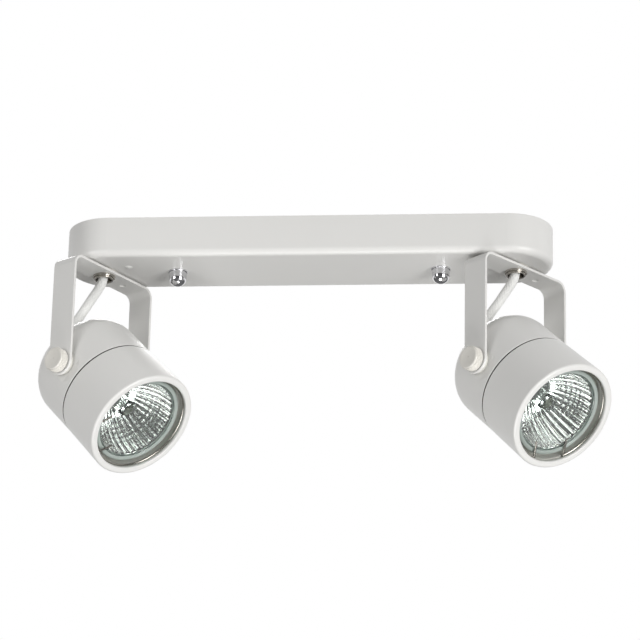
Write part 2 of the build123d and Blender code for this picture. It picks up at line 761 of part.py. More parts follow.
def core_route(side, pole_index):
    """Route of one core from its pole, past the stud, over and down into the nipple.

    The cores to one head keep one level and run side by side; the core from the
    nearest pole runs innermost, so none of them cross.
    """
    sign = side_sign[side]
    pole = poles[pole_index]
    rank = pole_index if sign < 0 else 2 - pole_index
    offset = core_spacing * (1 - rank)
    lane_y = core_lane + offset
    level = core_entry + sign * core_level_step
    # plan direction from the turning point to the pan axis, for the right-hand side
    reach = head_pitch / 2 - core_turn_x
    run = sqrt(reach ** 2 + core_lane ** 2)
    ahead = (reach / run, -core_lane / run)
    across = (-ahead[1], ahead[0])

    def near_axis(distance, height):
        x = head_pitch / 2 - distance * ahead[0] + offset * across[0]
        y = -distance * ahead[1] + offset * across[1]
        return (sign * x, y, height)

    return [
        (pole + sign * core_entry_offset, -2.0, core_entry),
        (pole + sign * core_entry_offset, -block_depth / 2 - 2.1, core_entry),
        (pole + sign * 4.0, lane_y, level),
        (sign * (core_turn_x + offset * across[0] / (1 + across[1])), lane_y, level),
        near_axis(8.0, -5.2),
        near_axis(0.0, -4.4),
        near_axis(0.0, -16.8),
    ]


def cores(pole_index):
    """The same core to both heads."""
    names = ("live", "earth", "neutral")
    return [lead(f"{names[pole_index]} core {side}", core_route(side, pole_index),
                 wire_diameter) for side in ("left", "right")]


def earth_link():
    """Short core from the block's supply side to the earth tag."""
    tag = -bracket_thickness - earth_tag_thickness
    return [lead("earth link", [
        (0, 2.0, core_entry),
        (0, block_depth / 2 + 3.0, core_entry),
        (-9.0, 16.0, core_entry - 1.0),
        (-21.0, 16.4, core_entry + 1.5),
        (earth_screw_x, 13.0, tag - 1.6),
        (earth_screw_x, 6.4, tag - 1.1),
    ], wire_diameter)]


# ================================ cable to the head ==============================

# points of each cable in its yoke's frame: X along the pivot axis, Y away from the
# lamp's side, Z up; from inside the nipple to inside the bush
cable_route = {
    "left": [(0.0, 0.0, -17.0), (0.0, 0.0, -25.4), (0.0, 2.8, -30.5), (0.0, 8.3, -36.1),
             (0.0, 14.6, -43.1), (0.0, 21.4, -49.95), (0.0, 22.98, -54.27),
             (0.0, 22.8, -58.87), (0.0, 20.85, -63.05)],
    "right": [(0.0, 0.0, -17.0), (0.0, 0.0, -25.4), (0.0, 2.9, -30.0), (0.0, 7.6, -34.2),
              (0.0, 13.2, -39.3), (0.0, 20.9, -45.3), (0.0, 23.7, -49.7),
              (0.0, 24.9, -54.8), (0.0, 24.1, -59.7), (0.0, 21.55, -64.25)],
}


def head_cable(side):
    """Cable from the nipple to the bush, ending inside the bush on the lamp's axis."""
    dip = radians(head_dip[side])
    end = back_reach - 0.6
    last = (0.0, end * cos(dip), pivot_height + end * sin(dip))
    return lead(f"head cable {side}", cable_route[side] + [last], cable_diameter)


# ================================ placing and writing ============================

def yoke_frame(side):
    """Frame of one yoke: origin on the pan axis, X along the pivot axis."""
    return Pos(side_sign[side] * head_pitch / 2, 0, 0) * Rot(0, 0, pan_bearing[side])


def head_frame(side):
    """Frame of one head: origin at the pivot, Z along the lamp's axis."""
    return yoke_frame(side) * Pos(0, 0, pivot_height) * Rot(90 + head_dip[side], 0, 0)


def report_motion():
    """Pivots, axes and limits of the joints, as the sizes give them."""
    half_stop = degrees(2 * asin(stop_bump_radius / stop_radius)) + 0.6
    for side, sign in side_sign.items():
        bearing = canopy_bump_bearing[side] - pan_bearing[side]
        low = (bearing + half_stop) % 360 - 360
        high = (bearing - half_stop) % 360
        print(f"pan_{side}: x {sign * head_pitch / 2:.1f}, {low:.1f} to {high:.1f} degrees")
        dip = head_dip[side]
        print(f"tilt_{side}: z {pivot_height:.2f}, {dip - 90:.1f} to {dip:.1f} degrees")


def write(name, shape, place=Location()):
    """One file for each kind of piece; like pieces share a file as separate solids."""
    pieces = shape if isinstance(shape, list) else [shape]
    placed = [place * piece for piece in pieces]
    solids = [solid for piece in placed for solid in piece.solids()]
    body = solids[0] if len(solids) == 1 else Compound(children=solids)
    export_step(body, os.path.join("parts", name + ".step"))


def main():
    os.makedirs("parts", exist_ok=True)
    write("canopy", canopy())
    write("mounting_bracket", mounting_bracket())
    write("bracket_studs", bracket_studs())
    write("stud_nuts", stud_nuts())
    write("cap_nuts", cap_nuts())
    pan_places = [Pos(sign * head_pitch / 2, 0, 0) for sign in (-1, 1)]
    write("nipples", [place * nipple() for place in pan_places])
    write("nipple_nuts", [place * nipple_nut() for place in pan_places])
    write("spring_washers", [place * spring_washer() for place in pan_places])
    write("pan_washers", [place * pan_washer() for place in pan_places])
    write("terminal_block", terminal_block())
    write("terminal_clamps", terminal_clamps())
    write("terminal_screws", terminal_screws())
    write("bracket_screws", bracket_screws())
    write("earth_tag", earth_tag())
    write("live_cores", cores(0))
    write("earth_cores", cores(1) + earth_link())
    write("neutral_cores", cores(2))
    for side in ("left", "right"):
        on_yoke = yoke_frame(side)
        on_head = head_frame(side)
        write(f"yoke_{side}", yoke(), on_yoke)
        write(f"head_cable_{side}", head_cable(side), on_yoke)
        write(f"rear_housing_{side}", rear_housing(), on_head)
        write(f"front_sleeve_{side}", front_sleeve(), on_head)
        write(f"sleeve_screws_{side}", sleeve_screws(), on_head)
        write(f"pivot_washers_{side}", pivot_washers(), on_head)
        write(f"lamp_socket_{side}", lamp_socket(), on_head)
        write(f"socket_strap_{side}", socket_strap(), on_head)
        write(f"strap_screws_{side}", strap_screws() + socket_screws(), on_head)
        write(f"socket_wires_{side}", socket_wires(), on_head)
        write(f"cable_bush_{side}", cable_bush(), on_head)
        write(f"lamp_reflector_{side}", lamp_reflector(), on_head)
        write(f"lamp_glass_{side}", lamp_glass(), on_head)
        write(f"lamp_capsule_{side}", lamp_capsule(), on_head)
        write(f"lamp_base_{side}", lamp_base(), on_head)
        write(f"lamp_pins_{side}", lamp_pins(), on_head)
        write(f"lamp_clip_{side}", lamp_clip(side), on_head)
        for end, turn in (("near", 180), ("far", 0)):
            outward = on_head * Rot(0, 0, turn)
            write(f"thumb_knob_{side}_{end}", thumb_knob(), outward)
            write(f"thumb_screw_{side}_{end}", thumb_screw(), outward)
    report_motion()


main()
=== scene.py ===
"""A white twin spotlight bar, dressed piece by piece in the order in which it is put together."""
import json

import bpy
import numpy as np
from mathutils import Matrix, Vector


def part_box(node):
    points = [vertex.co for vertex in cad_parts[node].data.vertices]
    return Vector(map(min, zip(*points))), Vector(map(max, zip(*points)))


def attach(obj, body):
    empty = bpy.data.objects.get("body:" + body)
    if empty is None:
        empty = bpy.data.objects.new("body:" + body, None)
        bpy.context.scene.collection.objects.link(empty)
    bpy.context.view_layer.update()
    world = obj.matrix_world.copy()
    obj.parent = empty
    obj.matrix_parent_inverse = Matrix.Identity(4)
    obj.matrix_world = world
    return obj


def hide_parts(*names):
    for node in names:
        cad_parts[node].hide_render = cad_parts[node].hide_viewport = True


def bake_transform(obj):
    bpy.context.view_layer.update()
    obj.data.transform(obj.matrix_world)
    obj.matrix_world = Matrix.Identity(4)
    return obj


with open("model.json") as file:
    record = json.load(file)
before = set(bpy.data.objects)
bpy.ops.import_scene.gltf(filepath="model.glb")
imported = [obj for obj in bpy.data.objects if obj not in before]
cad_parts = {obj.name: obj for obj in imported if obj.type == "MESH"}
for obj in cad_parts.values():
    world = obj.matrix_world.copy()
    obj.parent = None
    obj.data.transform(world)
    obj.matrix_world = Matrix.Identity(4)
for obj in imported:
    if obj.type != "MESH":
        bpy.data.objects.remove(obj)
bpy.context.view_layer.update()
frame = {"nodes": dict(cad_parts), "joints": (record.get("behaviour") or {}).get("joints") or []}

# ==== Camera ======================================================================
# A long lens from below and in front, fitted to the canopy's outline, the cap nuts and
# both lamp rims. Angles are in radians; yaw is from +Y towards +X.
FOCAL_PIXELS = 3301.5
PHOTO_PIXELS = 640
SENSOR_WIDTH = 36.0
CAMERA_PLACE = np.array((0.1476, -1.6452, -0.7133))
CAMERA_YAW = -0.0855
CAMERA_PITCH = 0.3814
CAMERA_ROLL = -0.0226

ahead = np.array((np.sin(CAMERA_YAW) * np.cos(CAMERA_PITCH),
                  np.cos(CAMERA_YAW) * np.cos(CAMERA_PITCH), np.sin(CAMERA_PITCH)))
level_right = np.cross(ahead, (0, 0, 1))
level_right /= np.linalg.norm(level_right)
level_up = np.cross(level_right, ahead)
right = np.cos(CAMERA_ROLL) * level_right - np.sin(CAMERA_ROLL) * level_up
up = np.sin(CAMERA_ROLL) * level_right + np.cos(CAMERA_ROLL) * level_up
camera = bpy.data.objects.new("camera", bpy.data.cameras.new("camera"))
camera.data.sensor_width = SENSOR_WIDTH
camera.data.lens = FOCAL_PIXELS / PHOTO_PIXELS * SENSOR_WIDTH
camera.data.clip_start = 0.05
camera.data.clip_end = 30.0
camera.matrix_world = Matrix.Translation(CAMERA_PLACE) @ Matrix(
    np.column_stack((right, up, -ahead)).tolist()).to_4x4()
bpy.context.scene.collection.objects.link(camera)
bpy.context.scene.camera = camera

# ==== White powder coat: canopy, yokes, housings and sleeves =======================
# Pressed and die-cast metal under one semi-matt baked coat. It has a fine orange peel,
# a faint warm mottle, and it is a little glossier where hands and cloths have rubbed.


def surface_group():
    """Shared finish: one noise tints the colour, a second varies roughness, a third
    lifts the surface. All three are read in object space at sizes given in metres."""
    group = bpy.data.node_groups.new("fine_surface", "ShaderNodeTree")
    face = group.interface
    for name, kind, value in (("Color", "Color", (0.8, 0.8, 0.8, 1)),
                              ("Tint", "Color", (0.7, 0.7, 0.7, 1)),
                              ("Tint Share", "Float", 0.3), ("Tint Size", "Float", 0.03),
                              ("Roughness", "Float", 0.4), ("Roughness Spread", "Float", 0.1),
                              ("Grain Size", "Float", 0.0006), ("Grain Height", "Float", 0.00002)):
        socket = face.new_socket(name, in_out="INPUT", socket_type="NodeSocket" + kind)
        socket.default_value = value
    for name, kind in (("Color", "Color"), ("Roughness", "Float"), ("Normal", "Vector")):
        face.new_socket(name, in_out="OUTPUT", socket_type="NodeSocket" + kind)
    make, link = group.nodes.new, group.links.new
    given, result = make("NodeGroupInput"), make("NodeGroupOutput")
    place = make("ShaderNodeTexCoord").outputs["Object"]

    def noise(size, detail):
        """Noise whose scale is one over the size of its cells in metres."""
        per_metre = make("ShaderNodeMath")
        per_metre.operation = "DIVIDE"
        per_metre.inputs[0].default_value = 1.0
        link(size, per_metre.inputs[1])
        texture = make("ShaderNodeTexNoise")
        texture.inputs["Detail"].default_value = detail
        link(place, texture.inputs["Vector"])
        link(per_metre.outputs[0], texture.inputs["Scale"])
        return texture.outputs["Fac"]

    patches = noise(given.outputs["Tint Size"], 3)
    share = make("ShaderNodeMath")
    share.operation = "MULTIPLY"
    link(patches, share.inputs[0])
    link(given.outputs["Tint Share"], share.inputs[1])
    tinted = make("ShaderNodeMix")
    tinted.data_type = "RGBA"
    link(share.outputs[0], tinted.inputs["Factor"])
    link(given.outputs["Color"], tinted.inputs["A"])
    link(given.outputs["Tint"], tinted.inputs["B"])
    link(tinted.outputs["Result"], result.inputs["Color"])
    centred = make("ShaderNodeMath")
    centred.operation = "SUBTRACT"
    centred.inputs[1].default_value = 0.5
    link(patches, centred.inputs[0])
    rough = make("ShaderNodeMath")
    rough.operation = "MULTIPLY_ADD"
    link(centred.outputs[0], rough.inputs[0])
    link(given.outputs["Roughness Spread"], rough.inputs[1])
    link(given.outputs["Roughness"], rough.inputs[2])
    link(rough.outputs[0], result.inputs["Roughness"])
    relief = make("ShaderNodeBump")
    link(given.outputs["Grain Height"], relief.inputs["Distance"])
    link(noise(given.outputs["Grain Size"], 2), relief.inputs["Height"])
    link(relief.outputs["Normal"], result.inputs["Normal"])
    return group


FINE_SURFACE = surface_group()


def finish(name, color, tint, tint_share=0.3, tint_size=0.03, roughness=0.4, spread=0.1,
           grain_size=0.0006, grain_height=0.00002, **shader_values):
    """A Principled material fed by the shared surface; other values go to its sockets."""
    made = bpy.data.materials.new(name)
    made.use_nodes = True
    shader = made.node_tree.nodes["Principled BSDF"]
    surface = made.node_tree.nodes.new("ShaderNodeGroup")
    surface.node_tree = FINE_SURFACE
    for socket, value in (("Color", (*color, 1)), ("Tint", (*tint, 1)),
                          ("Tint Share", tint_share), ("Tint Size", tint_size),
                          ("Roughness", roughness), ("Roughness Spread", spread),
                          ("Grain Size", grain_size), ("Grain Height", grain_height)):
        surface.inputs[socket].default_value = value
    link = made.node_tree.links.new
    link(surface.outputs["Color"], shader.inputs["Base Color"])
    link(surface.outputs["Roughness"], shader.inputs["Roughness"])
    link(surface.outputs["Normal"], shader.inputs["Normal"])
    for socket, value in shader_values.items():
        shader.inputs[socket.replace("_", " ")].default_value = value
    return made


nodes = frame["nodes"]
SIDES = ("left", "right")


def dress(material, *names):
    """Give CAD nodes one material."""
    for name in names:
        nodes[name].data.materials.clear()
        nodes[name].data.materials.append(material)


COAT_WHITE = (0.76, 0.755, 0.735)
COAT_SHADE = (0.70, 0.69, 0.665)
coat = finish("white_powder_coat", COAT_WHITE, COAT_SHADE, tint_share=0.5, tint_size=0.06,
              roughness=0.36, spread=0.08, grain_size=0.0009, grain_height=0.000012)
dress(coat, "canopy", *(f"yoke_{side}" for side in SIDES))

# ==== Mounting bracket, studs, nuts and screws =====================================
# Steel strip that is screwed to the wall, with two studs clinched in it, and the nuts and
# screws of the canopy and the heads. All of them are zinc plated and hidden in use.
zinc = finish("zinc_plate", (0.56, 0.56, 0.55), (0.42, 0.44, 0.47), tint_size=0.004,
              roughness=0.38, grain_size=0.0005, Metallic=1.0)
dress(zinc, "mounting_bracket", "bracket_studs", "stud_nuts", "nipple_nuts", "bracket_screws",
      "terminal_screws",
      *(f"{piece}_{side}" for side in SIDES
        for piece in ("sleeve_screws", "strap_screws", "socket_strap")))

# ==== Cap nuts =====================================================================
# Turned brass, polished and chromed. They run on the bracket's studs and are pulled up
# against the canopy by hand.
chrome = finish("polished_chrome", (0.72, 0.72, 0.74), (0.58, 0.58, 0.60), tint_size=0.003,
                roughness=0.09, spread=0.05, grain_height=0.000002, Metallic=1.0)
dress(chrome, "cap_nuts")

# ==== Nipples and their washers ====================================================
# Turned tube, nickel plated and slightly yellowed, on a fibre washer; the sprung washer
# above keeps the yoke stiff to turn.
nickel = finish("worn_nickel", (0.62, 0.60, 0.56), (0.34, 0.30, 0.25), tint_share=0.7,
                tint_size=0.003, roughness=0.24, spread=0.2, grain_size=0.0004, Metallic=1.0)
dress(nickel, "nipples",
      *(f"thumb_screw_{side}_{end}" for side in SIDES for end in ("near", "far")))
fibre = finish("pressed_fibre", (0.52, 0.50, 0.46), (0.40, 0.38, 0.34), tint_size=0.002,
               roughness=0.7, grain_size=0.0003)
dress(fibre, "pan_washers")
spring_steel = finish("spring_steel", (0.52, 0.50, 0.46), (0.34, 0.31, 0.27), tint_size=0.004,
                      roughness=0.22, grain_size=0.0003, Metallic=1.0)
dress(spring_steel, "spring_washers", *(f"lamp_clip_{side}" for side in SIDES))

# ==== Terminal block and cores =====================================================
# Moulded three-pole block with brass clamps, screwed to the bracket. Silicone cores in
# three colours run from it inside the canopy to the two nipples.
block_plastic = finish("block_plastic", (0.78, 0.77, 0.72), (0.68, 0.66, 0.60), roughness=0.5)
dress(block_plastic, "terminal_block")
brass = finish("clamp_brass", (0.62, 0.44, 0.16), (0.42, 0.27, 0.09), tint_size=0.003,
               roughness=0.3, Metallic=1.0)
dress(brass, "terminal_clamps", "earth_tag")
CORE_COLOURS = {"live_cores": (0.14, 0.05, 0.02), "neutral_cores": (0.03, 0.09, 0.30),
                "earth_cores": (0.32, 0.42, 0.04)}
CORE_TINT_LEVEL = 0.6         # of the core's own colour
for node, colour in CORE_COLOURS.items():
    darker = tuple(CORE_TINT_LEVEL * value for value in colour)
    dress(finish(f"insulation_{node}", colour, darker, tint_size=0.005, roughness=0.45), node)

# ==== Rear housings and front sleeves ==============================================
# Die-cast cup and tube, coated outside and over the lip. The sleeve's bore is bare,
# turned metal. The spigot in the seam and the inner ring of the housing's end face carry
# painted shade, near black, so that the seam shows as a dark line.
MM = 0.001
SEAM_FACE = 13.1 * MM         # from the pivot to the housing's end, where its spigot starts
SPIGOT_LIMIT = 29.7 * MM      # from the lamp's axis: painted shade inside this, ahead of the seam
BORE_LIMIT = 28.4 * MM        # from the lamp's axis: bare metal inside this, behind the sleeve's lip
LIP_START = 44.5 * MM         # from the pivot, where the coated lip begins
MASK_SOFTNESS = 0.15 * MM
BORE_METAL = (0.62, 0.62, 0.58)
BORE_METALLIC = 0.35          # turned and dull, so only partly mirror-like
# Painted shade: near black on the spigot and the end face in the seam, where the groove is in
# shade.
SEAM_PAINTED_SHADE = (0.030, 0.026, 0.022)
joints = {joint["name"]: joint for joint in frame["joints"]}


def head_axes(side):
    """Pivot of one head and its three axes: along the pivot screws, across, and ahead
    along the lamp, which runs from the pivot through the middle of the front glass."""
    tilt = joints[f"tilt_{side}"]
    pivot = np.array(tilt["pos_m"])
    along = -np.array(tilt["axis"])
    low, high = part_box(f"lamp_glass_{side}")
    forward = (np.array(low) + np.array(high)) / 2 - pivot
    forward -= forward.dot(along) * along
    forward /= np.linalg.norm(forward)
    return pivot, along, np.cross(forward, along), forward


def coat_with_bare_and_painted_shade(name, side, limit, coated_end, masked_end, bare_and_shade_colour, metallic):
    """Powder coat that gives way to another colour nearer the lamp's axis than the limit, on
    the masked end's side of a plane square to that axis: bare metal in the sleeve's bore,
    painted shade in the housing's seam."""
    made = coat.copy()
    made.name = f"{name}_{side}"
    make, link = made.node_tree.nodes.new, made.node_tree.links.new
    shader = made.node_tree.nodes["Principled BSDF"]
    surface = made.node_tree.nodes["Group"]
    pivot, _, _, forward = head_axes(side)

    def vector_step(operation, first, second):
        """One vector operation on a socket and a fixed vector."""
        step = make("ShaderNodeVectorMath")
        step.operation = operation
        link(first, step.inputs[0])
        step.inputs[1].default_value = second
        return step.outputs["Value" if operation == "DOT_PRODUCT" else "Vector"]

    def ramp(value, start, end):
        """Zero at the start, one at the end, straight between them and level outside."""
        step = make("ShaderNodeMapRange")
        step.inputs["From Min"].default_value = start
        step.inputs["From Max"].default_value = end
        link(value, step.inputs["Value"])
        return step.outputs["Result"]

    place = make("ShaderNodeTexCoord").outputs["Object"]
    from_pivot = vector_step("SUBTRACT", place, tuple(pivot))
    off_axis = make("ShaderNodeVectorMath")
    off_axis.operation = "LENGTH"
    link(vector_step("CROSS_PRODUCT", from_pivot, tuple(forward)), off_axis.inputs[0])
    inside = ramp(off_axis.outputs["Value"], limit + MASK_SOFTNESS, limit)
    past_plane = ramp(vector_step("DOT_PRODUCT", from_pivot, tuple(forward)),
                      coated_end, masked_end)
    bare_and_shade_share = make("ShaderNodeMath")
    bare_and_shade_share.operation = "MULTIPLY"
    link(inside, bare_and_shade_share.inputs[0])
    link(past_plane, bare_and_shade_share.inputs[1])
    colour = make("ShaderNodeMix")
    colour.data_type = "RGBA"
    link(bare_and_shade_share.outputs[0], colour.inputs["Factor"])
    link(surface.outputs["Color"], colour.inputs["A"])
    colour.inputs["B"].default_value = (*bare_and_shade_colour, 1)
    link(colour.outputs["Result"], shader.inputs["Base Color"])
    metal = make("ShaderNodeMath")
    metal.operation = "MULTIPLY"
    metal.inputs[1].default_value = metallic
    link(bare_and_shade_share.outputs[0], metal.inputs[0])
    link(metal.outputs[0], shader.inputs["Metallic"])
    return made


for side in SIDES:
    # The housing's seam gets painted shade, near black; the sleeve's bore gets bare metal.
    dress(coat_with_bare_and_painted_shade("housing_coat_painted_seam_shade", side, SPIGOT_LIMIT, SEAM_FACE - MASK_SOFTNESS,
                         SEAM_FACE, SEAM_PAINTED_SHADE, 0.0), f"rear_housing_{side}")
    dress(coat_with_bare_and_painted_shade("sleeve_coat", side, BORE_LIMIT, LIP_START + MASK_SOFTNESS,
                         LIP_START, BORE_METAL, BORE_METALLIC), f"front_sleeve_{side}")

# ==== Thumb screws and pivot washers ===============================================
# Ivory moulded knobs with ribbed rims, pressed on nickel-plated screws; plain nylon
# washers lie between the arms and the housing.
ivory = finish("ivory_moulding", (0.75, 0.73, 0.68), (0.66, 0.63, 0.56), tint_size=0.008,
               roughness=0.33, spread=0.12, grain_size=0.0007, grain_height=0.000012,
               Coat_Weight=0.2)
dress(ivory, *(f"thumb_knob_{side}_{end}" for side in SIDES for end in ("near", "far")))
nylon = finish("natural_nylon", (0.70, 0.69, 0.64), (0.60, 0.58, 0.52), roughness=0.45)
dress(nylon, *(f"pivot_washers_{side}" for side in SIDES))

# ==== Lamp socket, bush and socket wires ===========================================
# Steatite holder, strapped down at the back of the housing, with its two wires and the
# moulded rubber bush that the cable enters by. The lamp's base is the same pale ceramic.
steatite = finish("steatite", (0.74, 0.71, 0.64), (0.60, 0.55, 0.46), roughness=0.65,
                  grain_size=0.0005, grain_height=0.00004)
dress(steatite, *(f"{piece}_{side}" for side in SIDES for piece in ("lamp_socket", "lamp_base")))
bush_rubber = finish("white_rubber", (0.70, 0.70, 0.67), (0.60, 0.59, 0.56), roughness=0.5)
dress(bush_rubber, *(f"{piece}_{side}" for side in SIDES
                     for piece in ("cable_bush", "socket_wires")))
dress(nickel, *(f"lamp_pins_{side}" for side in SIDES))

# ==== Lamp reflectors ==============================================================
# Pressed glass, silvered in the bowl. The bowl is fluted from the rim inward and the
# flutes break into short steps near the middle; the rim is clear, greenish glass.
FLUTES = 38
FLUTE_COLUMNS = 8             # columns of points across one flute
BOWL_RINGS = 48
BOWL_CURVE = 1.7              # 1 would be a parabola and 2 an ellipse
STEP_ROWS = 9                 # short steps, counted over the whole depth of the bowl
STEPS_FADE_FROM = 0.3125      # share of the depth, from the floor
STEPS_FADE_TO = 0.9375
FLUTE_HEIGHT = 0.42 * MM
STEP_HEIGHT = 0.16 * MM
BOWL_RADIUS = 22.0 * MM
BOWL_FLOOR_RADIUS = 6.2 * MM
BOWL_EDGE = 39.1 * MM         # from the pivot, as are the next places
BOWL_FLOOR = 15.0 * MM
SEAT_RADIUS = 22.9 * MM       # of the front glass
LAMP_FRONT = 41.0 * MM
RIM_RADIUS = 25.2 * MM
RIM_BEVEL = 0.4 * MM
RIM_BACK = 38.0 * MM
SHELL_RADIUS = 23.1 * MM      # of the shell's outside, where it meets the rim
SHELL_CURVE = 1.8
SHELL_RINGS = 10
NECK_RADIUS = 10.6 * MM
NECK_BACK = 11.0 * MM


def place_on_head(side, radius, angle, ahead_by):
    """Points about the lamp's axis: the pivot, plus the radius times the angle's cosine
    along the screws and its sine across them, plus the way ahead along the lamp."""
    pivot, along, across, forward = head_axes(side)
    return (pivot + (radius * np.cos(angle))[..., None] * along
            + (radius * np.sin(angle))[..., None] * across + ahead_by[..., None] * forward)


def grid_faces(rows, columns):
    """Quads of a grid of rows by columns of points, closed round the columns."""
    row, column = np.meshgrid(np.arange(rows - 1), np.arange(columns), indexing="ij")
    beside = (column + 1) % columns
    return np.stack((row * columns + column, row * columns + beside,
                     (row + 1) * columns + beside, (row + 1) * columns + column), -1).reshape(-1, 4)


def mesh_piece(name, points, faces, materials, smooth=True):
    """A new object from points and faces, with its place in its mesh."""
    mesh = bpy.data.meshes.new(name)
    mesh.from_pydata(points.reshape(-1, 3).tolist(), [], faces.tolist())
    mesh.polygons.foreach_set("use_smooth", np.full(len(faces), smooth))
    for material in materials:
        mesh.materials.append(material)
    piece = bpy.data.objects.new(name, mesh)
    bpy.context.scene.collection.objects.link(piece)
    return piece


def fluted_bowl(side, turn):
    """Rings of points from the bowl's floor to its edge. The radius loses the flute height
    times one minus the square of the place across each flute, and the short steps do the
    same along the depth, fading out towards the rim."""
    depth, angle = np.meshgrid(np.linspace(0, 1, BOWL_RINGS), turn, indexing="ij")
    radius = BOWL_FLOOR_RADIUS + (BOWL_RADIUS - BOWL_FLOOR_RADIUS) * np.sqrt(
        1 - (1 - depth) ** BOWL_CURVE)
    across_flute = 2 * (angle * FLUTES / (2 * np.pi) % 1) - 1
    along_step = 2 * (depth * STEP_ROWS % 1) - 1
    step_share = np.clip((STEPS_FADE_TO - depth) / (STEPS_FADE_TO - STEPS_FADE_FROM), 0, 1)
    inward = FLUTE_HEIGHT * (radius / BOWL_RADIUS) * (1 - across_flute ** 2)
    inward += STEP_HEIGHT * (1 - along_step ** 2) * step_share
    inward *= np.clip((1 - depth) * BOWL_RINGS / 2, 0, 1)   # the edge itself is round
    return place_on_head(side, radius - inward, angle,
                         BOWL_FLOOR + (BOWL_EDGE - BOWL_FLOOR) * depth)


def reflector(side, silver, rim_glass):
    """The fluted bowl, then plain rings round the rim, the shell and the neck. The shell's
    radius grows with the root of one minus a power of the share still to go."""
    turn = np.arange(FLUTES * FLUTE_COLUMNS) / (FLUTES * FLUTE_COLUMNS) * 2 * np.pi
    rim = [(BOWL_RADIUS, BOWL_EDGE), (SEAT_RADIUS, BOWL_EDGE), (SEAT_RADIUS, BOWL_EDGE),
           (SEAT_RADIUS, LAMP_FRONT - RIM_BEVEL / 2), (SEAT_RADIUS + RIM_BEVEL / 2, LAMP_FRONT),
           (RIM_RADIUS - RIM_BEVEL, LAMP_FRONT), (RIM_RADIUS, LAMP_FRONT - RIM_BEVEL),
           (RIM_RADIUS, RIM_BACK + RIM_BEVEL), (RIM_RADIUS - RIM_BEVEL, RIM_BACK)]
    share = np.linspace(1, 0, SHELL_RINGS)
    shell = np.stack((NECK_RADIUS + (SHELL_RADIUS - NECK_RADIUS) * np.sqrt(
        1 - (1 - share) ** SHELL_CURVE), NECK_BACK + (RIM_BACK - NECK_BACK) * share), -1)
    neck = [(BOWL_FLOOR_RADIUS, NECK_BACK), (BOWL_FLOOR_RADIUS, BOWL_FLOOR)]
    profile = np.concatenate((rim, shell, neck))
    rings = place_on_head(side, profile[:, :1], turn, profile[:, 1:])
    points = np.concatenate((fluted_bowl(side, turn), rings))
    faces = grid_faces(len(points), len(turn))
    piece = mesh_piece(f"reflector_{side}", points, faces, (silver, rim_glass))
    ring_of_face = np.arange(len(faces)) // len(turn)
    on_rim = (ring_of_face >= BOWL_RINGS) & (ring_of_face < BOWL_RINGS + len(rim))
    piece.data.polygons.foreach_set("material_index", on_rim.astype(int))
    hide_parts(f"lamp_reflector_{side}")
    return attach(piece, f"head_{side}")


silver = finish("silvered_bowl", (0.82, 0.82, 0.815), (0.70, 0.69, 0.68), tint_size=0.004,
                roughness=0.07, spread=0.1, grain_size=0.0007, grain_height=0.00003,
                Metallic=1.0)
rim_glass = finish("green_rim_glass", (0.40, 0.45, 0.42), (0.26, 0.31, 0.28), tint_size=0.004,
                   roughness=0.08, spread=0.05, grain_height=0.000004, Coat_Weight=0.6)
for side in SIDES:
    reflector(side, silver, rim_glass)

# ==== Front glass and capsule ======================================================
# Clear pressed disc, cemented in the reflector's rim. The small quartz capsule stands
# behind it, on the lamp's axis.
GLASS_TINT = (0.93, 0.97, 0.95)
clear = bpy.data.materials.new("clear_front_glass")
clear.use_nodes = True
clear_shader = clear.node_tree.nodes["Principled BSDF"]
for socket, value in (("Base Color", (*GLASS_TINT, 1)), ("Roughness", 0.02), ("IOR", 1.5),
                      ("Transmission Weight", 1.0)):
    clear_shader.inputs[socket].default_value = value
dress(clear, *(f"lamp_glass_{side}" for side in SIDES))
quartz = clear.copy()
quartz.name = "quartz"
quartz.node_tree.nodes["Principled BSDF"].inputs["Roughness"].default_value = 0.06
dress(quartz, *(f"lamp_capsule_{side}" for side in SIDES))

# ==== Head cables ==================================================================
# White sleeved cable from each nipple to the bush at the back of its head. It hangs in
# a slack bow behind the yoke.
CABLE_DIAMETER = 5.2 * MM
CABLE_SIDES = 28
BRAID_TURNS = 9               # strands of each set, counted round the cable
BRAID_PITCH = 2.2 * MM
STRAND_HEIGHT = 0.08 * MM
BUSH_REACH = 22.9 * MM        # from the pivot to the cable's end inside the bush
CABLE_ROUTE = {               # across the yoke, away from the lamp's front, and height, in mm
    "left": [(0, 0, -17), (0, 0, -25.4), (0, 2.8, -30.5), (0, 8.3, -36.1), (0, 14.6, -43.1),
             (0, 21.4, -49.95), (0, 22.98, -54.27), (0, 22.8, -58.87), (0, 20.85, -63.05)],
    "right": [(0, 0, -17), (0, 0, -25.4), (0, 2.9, -30), (0, 7.6, -34.2), (0, 13.2, -39.3),
              (0, 20.9, -45.3), (0, 23.7, -49.7), (0, 24.9, -54.8), (0, 24.1, -59.7),
              (0, 21.55, -64.25)],
}


def cable_line(side):
    """Points read from a NURBS spline on the cable's route, from the nipple to the bush."""
    pivot, along, _, forward = head_axes(side)
    behind = np.cross((0, 0, 1), along)
    pan = np.array((pivot[0], pivot[1], 0))
    route = [pan + MM * (x * along + y * behind) + (0, 0, MM * z)
             for x, y, z in CABLE_ROUTE[side]]
    route.append(pivot - BUSH_REACH * forward)
    curve = bpy.data.curves.new("cable_line", "CURVE")
    curve.dimensions = "3D"
    curve.resolution_u = 8
    spline = curve.splines.new("NURBS")
    spline.points.add(len(route) - 1)
    for point, at in zip(spline.points, route):
        point.co = (*at, 1)
    spline.order_u = 3
    spline.use_endpoint_u = True
    holder = bpy.data.objects.new("cable_line", curve)
    bpy.context.scene.collection.objects.link(holder)
    bpy.context.view_layer.update()
    line = bpy.data.meshes.new_from_object(
        holder.evaluated_get(bpy.context.evaluated_depsgraph_get()))
    points = np.empty(3 * len(line.vertices))
    line.vertices.foreach_get("co", points)
    bpy.data.objects.remove(holder)
    return points.reshape(-1, 3)


